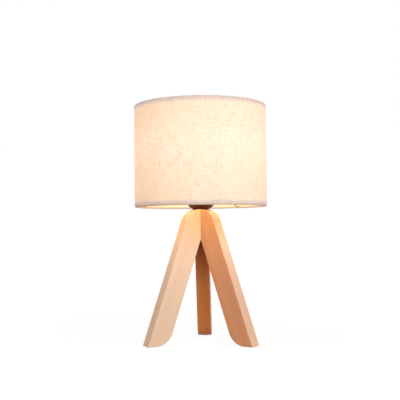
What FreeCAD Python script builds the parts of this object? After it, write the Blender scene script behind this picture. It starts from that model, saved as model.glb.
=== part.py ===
"""Tripod table lamp: three mitred wooden legs, a screw lampholder, a bulb and a round fabric shade.

Millimetres. The origin is on the floor under the lamp's axis, +Z is up and the front is -Y.
"""

import FreeCAD, Part
import math
import os
import re

import Sketcher
from FreeCAD import Placement, Rotation, Vector

# The driving dimensions. Every name is a cell of the sheet, and every sub-part is bound to the cells.
SIZES = {
    # the tripod, from the floor up
    "pad_diameter": 8,
    "pad_thickness": 0.8,
    "tripod_height": 171,
    "foot_reach": 78.5,
    "crown_reach": 19,
    "leg_width": 26.1,
    "leg_thickness": 18,
    "top_round": 22,
    "foot_round": 23,
    "edge_round": 0.7,
    "dowel_diameter": 3,
    "dowel_length": 14,
    "dowel_offset": 7.8,
    "dowel_drop": 17.2,
    "dowel_pitch": 10,
    # the hollow threaded tube through the tripod and what holds it
    "tube_diameter": 10,
    "tube_bore": 7,
    "tube_hole": 10.5,
    "tube_stand": 7.5,
    "tube_tail": 3,
    "tube_pitch": 1,
    "tube_thread": 0.5,
    "nut_drop": 23.2,
    "nut_recess": 17,
    "washer_diameter": 16,
    "washer_thickness": 1.2,
    "nut_flats": 14,
    "nut_height": 4,
    "bushing_flange": 11.5,
    "bushing_rim": 1.5,
    "bushing_depth": 8,
    "cord_hole": 5.8,
    # the lampholder: cap, core, contacts and skirt
    "cap_neck": 21,
    "cap_diameter": 41,
    "cap_dome": 16,
    "cap_height": 26,
    "cap_wall": 2,
    "cap_boss": 8,
    "cap_bowl": 9,
    "lock_diameter": 3,
    "lock_length": 8,
    "lock_height": 4.5,
    "lock_chamfer": 0.5,
    "spigot_depth": 8,
    "spigot_wall": 1.5,
    "flange_lip": 3.75,
    "flange_thickness": 2.5,
    "barrel_height": 25.5,
    "barrel_wall": 2.75,
    "barrel_room": 1.7,
    "barrel_pitch": 2.5,
    "barrel_thread": 0.7,
    "lip_thickness": 2,
    "rim_gap": 0.6,
    "rim_thickness": 2,
    "core_base": 14,
    "core_floor": 23,
    "core_height": 46,
    "core_wall": 1.5,
    "shell_bore": 26.6,
    "shell_wall": 0.4,
    "shell_height": 28.4,
    "terminal_offset": 9,
    "terminal_head": 6,
    "terminal_head_height": 2,
    "terminal_shank": 3,
    "terminal_depth": 6,
    "terminal_slot": 0.8,
    "contact_strip": 0.5,
    "contact_width": 6,
    "contact_tail": 9,
    "contact_bend": 1.5,
    "contact_tip": 3.2,
    "side_contact_width": 5,
    "side_contact_height": 5,
    "side_contact_foot": 4.9,
    # the ring that clamps the shade on the skirt
    "ring_wall": 3.15,
    "ring_lip": 5,
    "ring_flange": 2,
    "ring_height": 9,
    "ring_notch": 2,
    "ring_notches": 30,
    # the shade: wire frame, liner and fabric
    "fitter_gap": 1.25,
    "fitter_width": 6.5,
    "fitter_thickness": 1.2,
    "arm_wire": 2.8,
    "arm_azimuth": 52,
    "arm_run": 6.5,
    "arm_ankle": 10,
    "arm_bend": 8,
    "hoop_wire": 3,
    "shade_lift": 2.7,
    "shade_height": 130.5,
    "shade_diameter": 170,
    "fabric": 0.6,
    "liner": 0.4,
    "hem_depth": 6.5,
    "hem_drop": 0.9,
    "hem_ease": 3.6,
    "arm_slit": 4,
    # the bulb
    "bulb_seat": 26,
    "bulb_length": 77,
    "globe_diameter": 45,
    "globe_wall": 1.3,
    "globe_start": 45,
    "bulb_tip": 9.4,
    "bulb_tip_height": 1.5,
    "bulb_cap_diameter": 26.1,
    "bulb_cap_wall": 1.45,
    "bulb_cap_start": 4.4,
    "bulb_cap_shoulder": 7.4,
    "bulb_cap_height": 25.5,
    "bulb_cap_mouth": 19,
    "bulb_thread": 0.75,
    "bulb_pitch": 3.629,
    "insulator_diameter": 18.4,
    "insulator_height": 3.7,
    "neck_depth": 8.5,
    "collar_diameter": 27.4,
    "collar_height": 3.5,
    "housing_wall": 1.4,
    "housing_flare": 30,
    "board_thickness": 1.2,
    "board_ledge": 1.8,
    "led_ring": 22,
    "led_size": 2.8,
    "led_height": 0.8,
    "driver_height": 26,
    "driver_rise": 9,
    "driver_thickness": 1,
    "capacitor_diameter": 6.3,
    "capacitor_height": 11,
    # clearances
    "bore_gap": 0.05,
    "glue_gap": 0.05,
    "running_gap": 0.1,
    "loose_gap": 0.2,
}

LEG_ANGLES = {"leg_right": 330, "leg_rear": 90, "leg_left": 210}
MITRE_ANGLE = 60  # degrees from a leg's middle plane to its mitres
SEAM_ANGLES = (30, 150, 270)
ARM_COUNT = 3
LED_COUNT = 8
LOCK_AZIMUTH = 90  # the lock screw is at the back
HEX_ANGLE = 60  # degrees between the corners of a hexagon nut
TUBE_TURNS = 6  # turns of thread that show on the tube
THREAD_FLANK = 0.42  # how much of the pitch one flank of a thread takes
THREAD_OVERCUT = 0.125  # how far a thread's cutter stands off the crest, as a share of its depth

# Heights and radii that several pieces share, as expressions of the sheet
TOP = "tripod_height"
LEAN = "atan((foot_reach - crown_reach) / (tripod_height - pad_thickness))"
ROUND_EASE = f"tan(45 deg + {LEAN} / 2)"
NUT_SEAT = f"({TOP} - nut_drop)"
RIM = f"({TOP} + cap_height)"
SEAT = f"({RIM} + flange_thickness)"
MOUTH = f"({SEAT} + barrel_height)"
FITTER = f"({SEAT} + running_gap)"
RING = f"({FITTER} + fitter_thickness + running_gap)"
NUT = f"({NUT_SEAT} - washer_thickness - nut_height)"
TUBE_END = f"({NUT} - tube_tail)"
SLEEVE = "(shell_bore / 2 + shell_wall + running_gap + core_wall)"
BARREL = f"({SLEEVE} + barrel_room + barrel_wall)"
FLANGE = f"({BARREL} + flange_lip)"
RING_BORE = f"({BARREL} + running_gap)"
COLLAR = f"({RING_BORE} + ring_wall)"
FITTER_BORE = f"({BARREL} + fitter_gap)"
FITTER_RIM = f"({FITTER_BORE} + fitter_width)"
KNEE = f"({FITTER_RIM} + arm_run)"
BULB = f"({TOP} + bulb_seat)"
CORE_FLOOR = f"({TOP} + core_floor)"
HEM = "(hoop_wire / 2 + liner + fabric + 2 * glue_gap)"
HOOP = f"(shade_diameter / 2 - {HEM})"
LOWER_HOOP = f"({TOP} + shade_lift + {HEM})"
UPPER_HOOP = f"({TOP} + shade_lift + shade_height - {HEM})"

doc = FreeCAD.newDocument("TripodTableLamp")
sheet = doc.addObject("Spreadsheet::Sheet", "Sizes")
for row, (word, number) in enumerate(SIZES.items(), start=1):
    sheet.set(f"A{row}", word)
    sheet.set(f"B{row}", str(number))
    sheet.setAlias(f"B{row}", word)
doc.recompute()


def tied(expression):
    """The expression with each driving dimension's name pointing at its cell."""
    return re.sub(r"[a-z_]+", lambda m: f"Sizes.{m[0]}" if m[0] in SIZES else m[0], expression)


def worth(expression):
    """The expression's present value, in millimetres or degrees."""
    found = sheet.evalExpression(tied(expression))
    return float(getattr(found, "Value", found))


def bind(thing, sizes):
    """Ties properties of a document object to the sheet."""
    for name, expression in sizes.items():
        thing.setExpression(name, tied(expression))


def new_body(label):
    body = doc.addObject("PartDesign::Body", label)
    body.Label = label
    return body


def feature(body, kind, settings, sizes=None):
    """Adds a PartDesign feature to the body, and makes it the body's tip."""
    made = body.newObject(f"PartDesign::{kind}", f"{body.Name}_{kind}")
    for name, value in settings.items():
        setattr(made, name, value)
    bind(made, sizes or {})
    body.Tip = made
    return made


def sketch(body, role, lift=None, turn=0):
    """An empty sketch on one of the body's own planes, lifted off it or turned about the lamp's axis."""
    drawing = body.newObject("Sketcher::SketchObject", f"{body.Name}_sketch")
    plane = next(f for f in body.Origin.OriginFeatures if f.Role == role)
    drawing.AttachmentSupport = [(plane, "")]
    drawing.MapMode = "FlatFace"
    if turn:
        drawing.AttachmentOffset = Placement(Vector(), Rotation(Vector(0, 1, 0), turn))
    if lift:
        bind(drawing, {"AttachmentOffset.Base.z": lift})
    return drawing


def fix_point(drawing, edge, end, x, y):
    """Holds one end of an edge at a place given by two expressions."""
    for axis, expression in (("DistanceX", x), ("DistanceY", y)):
        held = Sketcher.Constraint(axis, -1, 1, edge, end, worth(expression))
        index = drawing.addConstraint(held)
        drawing.setExpression(f"Constraints[{index}]", tied(expression))


def fix_size(drawing, kind, edge, expression):
    index = drawing.addConstraint(Sketcher.Constraint(kind, edge, worth(expression)))
    drawing.setExpression(f"Constraints[{index}]", tied(expression))


def arc_between(start, end, radius, turn):
    """The shorter arc from start to end: turn is 1 anticlockwise and -1 clockwise."""
    chord = end - start
    half = chord.Length / 2
    left = Vector(-chord.y, chord.x, 0).normalize()
    centre = (start + end) / 2 + left * turn * math.sqrt(max(radius**2 - half**2, 0))
    first, last = (start, end) if turn > 0 else (end, start)
    angles = [math.atan2(p.y - centre.y, p.x - centre.x) for p in (first, last)]
    if angles[1] < angles[0]:
        angles[1] += 2 * math.pi
    return Part.ArcOfCircle(Part.Circle(centre, Vector(0, 0, 1), radius), *angles)


def outline(drawing, corners, bends=None, closed=True):
    """Draws an outline through corners, each a pair of expressions, and fully constrains it.

    bends gives, for the edge that leaves a corner, the radius and turn of an arc. Other edges are straight.
    """
    bends = bends or {}
    places = [Vector(worth(x), worth(y), 0) for x, y in corners]
    ends = []
    for i in range(len(corners) if closed else len(corners) - 1):
        start = places[i]
        end = places[(i + 1) % len(places)]
        if i in bends:
            radius, turn = bends[i]
            edge = drawing.addGeometry(arc_between(start, end, worth(radius), turn), False)
            fix_size(drawing, "Radius", edge, radius)
            ends.append((edge, 1, 2) if turn > 0 else (edge, 2, 1))
        else:
            edge = drawing.addGeometry(Part.LineSegment(start, end), False)
            ends.append((edge, 1, 2))
    for (edge, first, last), corner in zip(ends, corners):
        fix_point(drawing, edge, first, *corner)
    followers = ends[1:] + ends[:1] if closed else ends[1:]
    for (edge, _, last), (following, first, _) in zip(ends, followers):
        drawing.addConstraint(Sketcher.Constraint("Coincident", edge, last, following, first))
    if not closed:
        fix_point(drawing, ends[-1][0], ends[-1][2], *corners[-1])


def circle(drawing, x, y, diameter):
    """Draws a constrained circle at a place given by two expressions."""
    place = Vector(worth(x), worth(y), 0)
    edge = drawing.addGeometry(Part.Circle(place, Vector(0, 0, 1), worth(diameter) / 2), False)
    fix_point(drawing, edge, 3, x, y)
    fix_size(drawing, "Diameter", edge, diameter)


def turned(label, corners, bends=None):
    """A body turned about the lamp's axis from a half section of (radius, height) corners."""
    body = new_body(label)
    section = sketch(body, "XZ_Plane")
    outline(section, corners, bends)
    feature(body, "Revolution", {"Profile": section, "ReferenceAxis": (section, ["V_Axis"]), "Angle": 360})
    return body


def threaded(body, diameter, depth, pitch, start, count):
    """Cuts the grooves of a screw thread round a turned body, drawn as rings."""
    groove = sketch(body, "XZ_Plane")
    flank = f"({pitch} * {THREAD_FLANK})"
    clear = f"({diameter} / 2 + {depth} * {THREAD_OVERCUT})"
    outline(
        groove,
        [
            (f"{diameter} / 2 - {depth}", f"{start} + {flank}"),
            (clear, start),
            (clear, f"{start} + 2 * {flank}"),
        ],
    )
    cut = feature(body, "Groove", {"Profile": groove, "ReferenceAxis": (groove, ["V_Axis"]), "Angle": 360})
    axis = next(f for f in body.Origin.OriginFeatures if f.Role == "Z_Axis")
    settings = {"Originals": [cut], "Direction": (axis, [""]), "Occurrences": count}
    feature(body, "LinearPattern", settings, {"Length": f"{pitch} * {count - 1}"})


def placed(thing, sizes, rotation=None):
    """Places a sub-part: an optional rotation, and expressions for its x, y and z."""
    if rotation:
        thing.Placement = Placement(Vector(), rotation)
    bind(thing, {f"Placement.Base.{axis}": expression for axis, expression in sizes.items()})
    return thing


def spun(thing, azimuth):
    """Turns a sub-part about the lamp's axis by an expression in degrees."""
    thing.Placement = Placement(Vector(), Rotation(Vector(0, 0, 1), worth(azimuth)))
    bind(thing, {"Placement.Rotation.Angle": f"({azimuth}) * 1 deg"})
    return thing


def group(label, members):
    """Separate solids that share one node."""
    made = doc.addObject("Part::Compound", label)
    made.Label = label
    made.Links = members
    return made


def primitive(kind, label, sizes):
    made = doc.addObject(f"Part::{kind}", label)
    made.Label = label
    bind(made, sizes)
    return made


# ---- the tripod ----


def leg(label, azimuth):
    """A leaning flat leg with a rounded shoulder and heel, mitred to its neighbours at the lamp's axis."""
    body = new_body(label)
    span = f"(leg_width / cos({LEAN}))"
    shoulder = f"(top_round / {ROUND_EASE})"
    heel = f"(foot_round / {ROUND_EASE})"
    side = sketch(body, "XZ_Plane")
    outline(
        side,
        [
            ("foot_reach", "pad_thickness"),
            (f"crown_reach + {shoulder} * sin({LEAN})", f"{TOP} - {shoulder} * cos({LEAN})"),
            (f"crown_reach - {shoulder}", TOP),
            (f"crown_reach - {span}", TOP),
            (
                f"foot_reach - {span} - {heel} * sin({LEAN})",
                f"pad_thickness + {heel} * cos({LEAN})",
            ),
            (f"foot_reach - {span} + {heel}", "pad_thickness"),
        ],
        {1: ("top_round", 1), 4: ("foot_round", 1)},
    )
    board = feature(body, "Pad", {"Profile": side, "Midplane": True}, {"Length": "leg_thickness"})
    doc.recompute()
    face = worth("leg_thickness") / 2
    flat = worth("edge_round") / 2
    long_edges = [
        f"Edge{i}"
        for i, edge in enumerate(board.Shape.Edges, start=1)
        if abs(edge.BoundBox.YMin) > face - flat and edge.BoundBox.YLength < flat
    ]
    feature(body, "Fillet", {"Base": (board, long_edges)}, {"Radius": "edge_round"})

    mitre = sketch(body, "XY_Plane")
    far = "(leg_width + leg_thickness)"
    outline(
        mitre,
        [
            ("0", "0"),
            (f"{far} * cos({MITRE_ANGLE})", f"{far} * sin({MITRE_ANGLE})"),
            (f"-{far}", f"{far}"),
            (f"-{far}", f"-{far}"),
            (f"{far} * cos({MITRE_ANGLE})", f"-{far} * sin({MITRE_ANGLE})"),
        ],
    )
    through = {"Type": "ThroughAll", "Midplane": True}
    feature(body, "Pocket", {"Profile": mitre, **through})

    bore = sketch(body, "XY_Plane")
    circle(bore, "0", "0", "tube_hole")
    feature(body, "Pocket", {"Profile": bore, **through})

    recess = sketch(body, "XY_Plane", lift=NUT_SEAT)
    circle(recess, "0", "0", "nut_recess")
    feature(body, "Pocket", {"Profile": recess, "Type": "ThroughAll"})

    for turn in (MITRE_ANGLE, -MITRE_ANGLE):
        holes = sketch(body, "XZ_Plane", turn=turn)
        for level in range(2):
            circle(holes, "dowel_offset", dowel_height(level), "dowel_diameter")
        feature(body, "Pocket", {"Profile": holes, "Midplane": True}, {"Length": "dowel_length"})
    body.Placement = Placement(Vector(), Rotation(Vector(0, 0, 1), azimuth))
    return body


def dowel_height(level):
    """The height of the lower (0) or upper (1) dowel of a mitre."""
    return f"({TOP} - dowel_drop + {level} * dowel_pitch)"


def foot_pad(label, azimuth):
    """A thin round pad in the middle of the flat end of a foot."""
    flat = f"(leg_width / cos({LEAN}) - foot_round / {ROUND_EASE})"
    reach = f"(foot_reach - {flat} / 2)"
    pad = primitive("Cylinder", label, {"Radius": "pad_diameter / 2", "Height": "pad_thickness"})
    return placed(pad, {"x": f"{reach} * cos({azimuth})", "y": f"{reach} * sin({azimuth})"})


def joint_dowels():
    """Two round pins across each mitre."""
    pins = []
    for seam in SEAM_ANGLES:
        for level in range(2):
            sizes = {"Radius": "dowel_diameter / 2", "Height": "dowel_length"}
            pin = primitive("Cylinder", f"dowel_{seam}_{level}", sizes)
            sideways = Rotation(Vector(0, 0, 1), seam).multiply(Rotation(Vector(1, 0, 0), -90))
            places = {
                "x": f"dowel_offset * cos({seam}) + dowel_length / 2 * sin({seam})",
                "y": f"dowel_offset * sin({seam}) - dowel_length / 2 * cos({seam})",
                "z": dowel_height(level),
            }
            pins.append(placed(pin, places, sideways))
    return group("joint_dowels", pins)


def threaded_tube():
    """The hollow tube that clamps the lampholder's cap to the tripod and carries the cord."""
    top = f"({TOP} + tube_stand)"
    body = turned(
        "threaded_tube",
        [
            ("tube_bore / 2", TUBE_END),
            ("tube_diameter / 2", TUBE_END),
            ("tube_diameter / 2", top),
            ("tube_bore / 2", top),
        ],
    )
    threaded(body, "tube_diameter", "tube_thread", "tube_pitch", f"{TUBE_END} + tube_thread / 2", TUBE_TURNS)
    return body


def tube_washer():
    low = f"({NUT_SEAT} - washer_thickness)"
    return turned(
        "tube_washer",
        [
            ("tube_hole / 2", low),
            ("washer_diameter / 2", low),
            ("washer_diameter / 2", NUT_SEAT),
            ("tube_hole / 2", NUT_SEAT),
        ],
    )


def tube_nut():
    """A thin hexagon nut under the washer."""
    body = new_body("tube_nut")
    section = sketch(body, "XY_Plane", lift=NUT)
    corner = f"(nut_flats / 2 / cos({HEX_ANGLE} / 2))"
    outline(section, [(f"{corner} * cos({a})", f"{corner} * sin({a})") for a in range(0, 360, HEX_ANGLE)])
    circle(section, "0", "0", "tube_diameter + 2 * bore_gap")
    feature(body, "Pad", {"Profile": section}, {"Length": "nut_height"})
    return body


def cord_bushing():
    """The smooth flanged sleeve in the tube's lower end, where a cord goes in."""
    return turned(
        "cord_bushing",
        [
            ("cord_hole / 2", f"{TUBE_END} - bushing_rim"),
            ("bushing_flange / 2", f"{TUBE_END} - bushing_rim"),
            ("bushing_flange / 2", TUBE_END),
            ("tube_bore / 2 - bore_gap", TUBE_END),
            ("tube_bore / 2 - bore_gap", f"{TUBE_END} + bushing_depth"),
            ("cord_hole / 2", f"{TUBE_END} + bushing_depth"),
        ],
    )


# ---- the lampholder ----


def holder_cap():
    """The domed lower half of the lampholder, screwed on the tube."""
    flare = "((cap_diameter - cap_neck) / 2)"
    inside = "(cap_diameter / 2 - cap_wall)"
    body = turned(
        "holder_cap",
        [
            ("tube_diameter / 2 + bore_gap", TOP),
            ("cap_neck / 2", TOP),
            ("cap_diameter / 2", f"{TOP} + cap_dome"),
            ("cap_diameter / 2", RIM),
            (inside, RIM),
            (inside, f"{TOP} + cap_boss + cap_bowl"),
            (f"{inside} - cap_bowl", f"{TOP} + cap_boss"),
            ("tube_diameter / 2 + bore_gap", f"{TOP} + cap_boss"),
        ],
        {1: (f"({flare}^2 + cap_dome^2) / (2 * {flare})", 1), 5: ("cap_bowl", -1)},
    )
    hole = sketch(body, "XZ_Plane")
    circle(hole, "0", f"{TOP} + lock_height", "lock_diameter")
    feature(body, "Pocket", {"Profile": hole, "Type": "ThroughAll"})
    return body


def cap_lock_screw():
    """The small headless screw that keeps the cap from turning on the tube."""
    body = turned(
        "cap_lock_screw",
        [
            ("0", "0"),
            ("lock_diameter / 2 - bore_gap - lock_chamfer", "0"),
            ("lock_diameter / 2 - bore_gap", "lock_chamfer"),
            ("lock_diameter / 2 - bore_gap", "lock_length"),
            ("0", "lock_length"),
        ],
    )
    socket = sketch(body, "XY_Plane", lift="lock_length")
    circle(socket, "0", "0", "lock_diameter / 2")
    feature(body, "Pocket", {"Profile": socket}, {"Length": "lock_length / 4"})
    outwards = Rotation(Vector(0, 0, 1), LOCK_AZIMUTH).multiply(Rotation(Vector(0, 1, 0), 90))
    start = "(tube_diameter / 2 + bore_gap)"
    return placed(body, {"y": start, "z": f"{TOP} + lock_height"}, outwards)


def holder_core():
    """The insulating insert that carries the contacts and holds the screw shell."""
    shoulder = "(cap_diameter / 2 - cap_wall - loose_gap - spigot_wall - loose_gap)"
    lip = f"({SEAT} - lip_thickness - running_gap)"
    body = turned(
        "holder_core",
        [
            ("0", f"{TOP} + core_base"),
            (shoulder, f"{TOP} + core_base"),
            (shoulder, lip),
            (SLEEVE, lip),
            (SLEEVE, f"{TOP} + core_height"),
            ("shell_bore / 2 + shell_wall + running_gap", f"{TOP} + core_height"),
            ("shell_bore / 2 + shell_wall + running_gap", CORE_FLOOR),
            ("0", CORE_FLOOR),
        ],
    )
    holes = sketch(body, "XY_Plane", lift=f"{TOP} + core_base")
    for x in ("terminal_offset", "-terminal_offset"):
        circle(holes, x, "0", "terminal_shank")
    feature(body, "Pocket", {"Profile": holes, "Reversed": True}, {"Length": "terminal_depth"})
    return body


def terminal_screws():
    """The two screws that clamp the cord's wires, heads down."""
    screws = []
    for number, x in enumerate(("terminal_offset", "-terminal_offset"), start=1):
        body = turned(
            f"terminal_screw_{number}",
            [
                ("0", "-terminal_head_height"),
                ("terminal_head / 2", "-terminal_head_height"),
                ("terminal_head / 2", "0"),
                ("terminal_shank / 2", "0"),
                ("terminal_shank / 2", "terminal_depth"),
                ("0", "terminal_depth"),
            ],
        )
        slot = sketch(body, "XY_Plane", lift="-terminal_head_height")
        end = "terminal_head"
        half = "terminal_slot / 2"
        outline(slot, [(f"-{end}", f"-{half}"), (end, f"-{half}"), (end, half), (f"-{end}", half)])
        settings = {"Profile": slot, "Reversed": True}
        feature(body, "Pocket", settings, {"Length": "terminal_head_height / 2"})
        screws.append(placed(body, {"x": x, "z": f"{TOP} + core_base"}))
    return group("terminal_screws", screws)


def strip(label, corners, width):
    """A bent metal strip, drawn from the side and as wide as width."""
    body = new_body(label)
    side = sketch(body, "XZ_Plane")
    outline(side, corners)
    feature(body, "Pad", {"Profile": side, "Midplane": True}, {"Length": width})
    return body


def centre_contact():
    """The sprung tongue under the bulb's tip."""
    tip = f"({BULB} - loose_gap)"
    return strip(
        "centre_contact",
        [
            ("-contact_tail", CORE_FLOOR),
            ("-contact_bend", CORE_FLOOR),
            ("contact_tip", f"{tip} - contact_strip"),
            ("contact_tip", tip),
            ("-contact_bend", f"{CORE_FLOOR} + contact_strip"),
            ("-contact_tail", f"{CORE_FLOOR} + contact_strip"),
        ],
        "contact_width",
    )


def side_contact():
    """The angle that joins the screw shell to its terminal."""
    outer = "(shell_bore / 2 - 2 * loose_gap)"
    inner = f"({outer} - contact_strip)"
    top = f"({CORE_FLOOR} + side_contact_height)"
    return strip(
        "side_contact",
        [
            (f"{outer} - side_contact_foot", CORE_FLOOR),
            (outer, CORE_FLOOR),
            (outer, top),
            (inner, top),
            (inner, f"{CORE_FLOOR} + contact_strip"),
            (f"{outer} - side_contact_foot", f"{CORE_FLOOR} + contact_strip"),
        ],
        "side_contact_width",
    )


def screw_shell():
    """The metal sleeve that the bulb's cap screws into, drawn with a plain wall."""
    low = f"({CORE_FLOOR} + running_gap)"
    high = f"({CORE_FLOOR} + shell_height)"
    return turned(
        "screw_shell",
        [
            ("shell_bore / 2", low),
            ("shell_bore / 2 + shell_wall", low),
            ("shell_bore / 2 + shell_wall", high),
            ("shell_bore / 2", high),
        ],
    )


def holder_skirt():
    """The upper half of the lampholder: a spigot in the cap, a flange and a threaded barrel."""
    spigot = "(cap_diameter / 2 - cap_wall - loose_gap)"
    lip = f"({SEAT} - lip_thickness)"
    body = turned(
        "holder_skirt",
        [
            (spigot, f"{RIM} - spigot_depth"),
            (spigot, RIM),
            (FLANGE, RIM),
            (FLANGE, SEAT),
            (BARREL, SEAT),
            (BARREL, MOUTH),
            ("collar_diameter / 2 + rim_gap", MOUTH),
            ("collar_diameter / 2 + rim_gap", f"{MOUTH} - rim_thickness"),
            (f"{BARREL} - barrel_wall", f"{MOUTH} - rim_thickness"),
            (f"{BARREL} - barrel_wall", SEAT),
            (f"{SLEEVE} + loose_gap", SEAT),
            (f"{SLEEVE} + loose_gap", lip),
            (f"{spigot} - spigot_wall", lip),
            (f"{spigot} - spigot_wall", f"{RIM} - spigot_depth"),
        ],
    )
    turns = int(worth("(barrel_height - 1.5 * barrel_pitch) / barrel_pitch"))
    start = f"{SEAT} + barrel_pitch"
    threaded(body, f"(2 * {BARREL})", "barrel_thread", "barrel_pitch", start, turns)
    return body


def shade_ring():
    """The flanged nut on the barrel that clamps the shade's fitter, notched for the fingers."""
    rim = f"({COLLAR} + ring_lip)"
    body = turned(
        "shade_ring",
        [
            (RING_BORE, RING),
            (rim, RING),
            (rim, f"{RING} + ring_flange"),
            (COLLAR, f"{RING} + ring_flange"),
            (COLLAR, f"{RING} + ring_height"),
            (RING_BORE, f"{RING} + ring_height"),
        ],
    )
    notch = sketch(body, "XY_Plane", lift=f"{RING} + ring_height")
    circle(notch, f"{COLLAR} + ring_notch / 4", "0", "ring_notch")
    depth = {"Length": "ring_height - ring_flange"}
    cut = feature(body, "Pocket", {"Profile": notch}, depth)
    axis = next(f for f in body.Origin.OriginFeatures if f.Role == "Z_Axis")
    settings = {"Originals": [cut], "Axis": (axis, [""]), "Angle": 360}
    feature(body, "PolarPattern", settings, {"Occurrences": "ring_notches"})
    return body


# ---- the shade ----


def fitter_ring():
    """The flat steel ring that sits on the skirt's flange."""
    top = f"({FITTER} + fitter_thickness)"
    return turned(
        "fitter_ring",
        [
            (FITTER_BORE, FITTER),
            (FITTER_RIM, FITTER),
            (FITTER_RIM, top),
            (FITTER_BORE, top),
        ],
    )


def fitter_arm(number):
    """One wire from under the fitter ring, out and down to the lower hoop."""
    body = new_body(f"fitter_arm_{number}")
    high = f"({FITTER} - arm_wire / 2)"
    ankle = f"({HOOP} - arm_ankle)"
    pitch = f"atan(({high} - {LOWER_HOOP}) / ({ankle} - {KNEE}))"
    ease = f"(arm_bend * tan({pitch} / 2))"
    start = f"({FLANGE} + arm_wire / 4)"
    line = sketch(body, "XZ_Plane")
    outline(
        line,
        [
            (start, high),
            (f"{KNEE} - {ease}", high),
            (f"{KNEE} + {ease} * cos({pitch})", f"{high} - {ease} * sin({pitch})"),
            (f"{ankle} - {ease} * cos({pitch})", f"{LOWER_HOOP} + {ease} * sin({pitch})"),
            (f"{ankle} + {ease}", LOWER_HOOP),
            (f"{HOOP} - hoop_wire / 2 + bore_gap", LOWER_HOOP),
        ],
        {1: ("arm_bend", -1), 3: ("arm_bend", 1)},
        closed=False,
    )
    section = sketch(body, "YZ_Plane", lift=start)
    circle(section, "0", high, "arm_wire")
    feature(body, "AdditivePipe", {"Profile": section, "Spine": line})
    return spun(body, f"arm_azimuth + {number} * 360 / {ARM_COUNT}")


def hoop(label, height):
    """A round wire inside a hem of the shade."""
    wire = primitive("Torus", label, {"Radius1": HOOP, "Radius2": "hoop_wire / 2"})
    return placed(wire, {"z": height})


def shade_liner():
    """The stiff translucent sheet that the fabric is glued to."""
    outer = "(shade_diameter / 2 - fabric - glue_gap)"
    return turned(
        "shade_liner",
        [
            (f"{outer} - liner", LOWER_HOOP),
            (outer, LOWER_HOOP),
            (outer, UPPER_HOOP),
            (f"{outer} - liner", UPPER_HOOP),
        ],
    )


def shade_fabric():
    """The fabric drum, its edges rolled over both hoops and tucked back against the liner."""
    outer = "(shade_diameter / 2)"
    skin = f"({outer} - fabric)"
    tuck = f"({skin} - liner - 2 * glue_gap)"
    inside = f"({HOOP} - {HEM})"
    half = {}
    for way, hoop_height in ((1, UPPER_HOOP), (-1, LOWER_HOOP)):
        sign = "+" if way > 0 else "-"
        back = "-" if way > 0 else "+"
        half[way] = [
            (outer, hoop_height),
            (HOOP, f"{hoop_height} {sign} {HEM}"),
            (inside, hoop_height),
            (inside, f"{hoop_height} {back} hem_drop"),
            (f"{tuck} - fabric", f"{hoop_height} {back} hem_ease"),
            (f"{tuck} - fabric", f"{hoop_height} {back} (hem_depth - {HEM})"),
            (tuck, f"{hoop_height} {back} (hem_depth - {HEM})"),
            (tuck, f"{hoop_height} {back} (hem_ease - fabric)"),
            (f"{inside} + fabric", f"{hoop_height} {back} (hem_drop - fabric / 2)"),
            (f"{inside} + fabric", hoop_height),
            (HOOP, f"{hoop_height} {sign} ({HEM} - fabric)"),
            (skin, hoop_height),
        ]
    corners = half[1] + half[-1][::-1]
    count = len(half[1])
    folded = f"({HEM} - fabric)"
    bends = {0: (HEM, 1), 1: (HEM, 1), 9: (folded, -1), 10: (folded, -1)}
    bends |= {count: (folded, -1), count + 1: (folded, -1), 2 * count - 3: (HEM, 1), 2 * count - 2: (HEM, 1)}
    body = turned("shade_fabric", corners, bends)
    slit = sketch(body, "YZ_Plane", lift=HOOP)
    circle(slit, "0", LOWER_HOOP, "arm_slit")
    cut = feature(body, "Pocket", {"Profile": slit}, {"Length": f"2 * {HEM}"})
    axis = next(f for f in body.Origin.OriginFeatures if f.Role == "Z_Axis")
    settings = {"Originals": [cut], "Axis": (axis, [""]), "Angle": 360, "Occurrences": ARM_COUNT}
    feature(body, "PolarPattern", settings)
    return spun(body, "arm_azimuth")


# ---- the bulb ----


def bulb_contact():
    """The solder tip at the bottom of the bulb."""
    top = f"({BULB} + bulb_tip_height)"
    return turned(
        "bulb_contact",
        [
            ("0", BULB),
            ("bulb_tip / 3", BULB),
            ("bulb_tip / 2", f"{BULB} + bulb_tip_height / 2"),
            ("bulb_tip / 2", top),
            ("0", top),
        ],
    )


def bulb_insulator():
    low = f"({BULB} + bulb_tip_height)"
    high = f"({low} + insulator_height)"
    return turned(
        "bulb_insulator",
        [
            ("0", low),
            ("bulb_tip / 2 + loose_gap", low),
            ("insulator_diameter / 2", f"{high} - bulb_tip_height / 2"),
            ("insulator_diameter / 2", high),
            ("0", high),
        ],
    )


def bulb_screw_cap():
    """The bulb's metal screw cap."""
    crest = "bulb_cap_diameter / 2"
    top = f"({BULB} + bulb_cap_height)"
    body = turned(
        "bulb_screw_cap",
        [
            ("bulb_cap_mouth / 2", f"{BULB} + bulb_cap_start"),
            (crest, f"{BULB} + bulb_cap_shoulder"),
            (crest, top),
            (f"{crest} - bulb_cap_wall", top),
            (f"{crest} - bulb_cap_wall", f"{BULB} + bulb_cap_shoulder + loose_gap"),
            ("bulb_cap_mouth / 2", f"{BULB} + bulb_cap_start + bulb_cap_wall"),
        ],
    )
    start = f"{BULB} + bulb_cap_shoulder + loose_gap"
    turns = int(worth("(bulb_cap_height - bulb_cap_shoulder) / bulb_pitch"))
    threaded(body, "bulb_cap_diameter", "bulb_thread", "bulb_pitch", start, turns)
    return body


GLOBE_CENTRE = f"({BULB} + bulb_length - globe_diameter / 2)"
GLOBE_FOOT = f"({BULB} + globe_start)"
MOUTH_SQUARED = f"({GLOBE_CENTRE} - {GLOBE_FOOT})^2"


def ball_radius(diameter):
    """The radius, at the globe's foot, of a ball of this diameter round the globe's centre."""
    return f"sqrt(({diameter} / 2)^2 - {MOUTH_SQUARED})"


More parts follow.
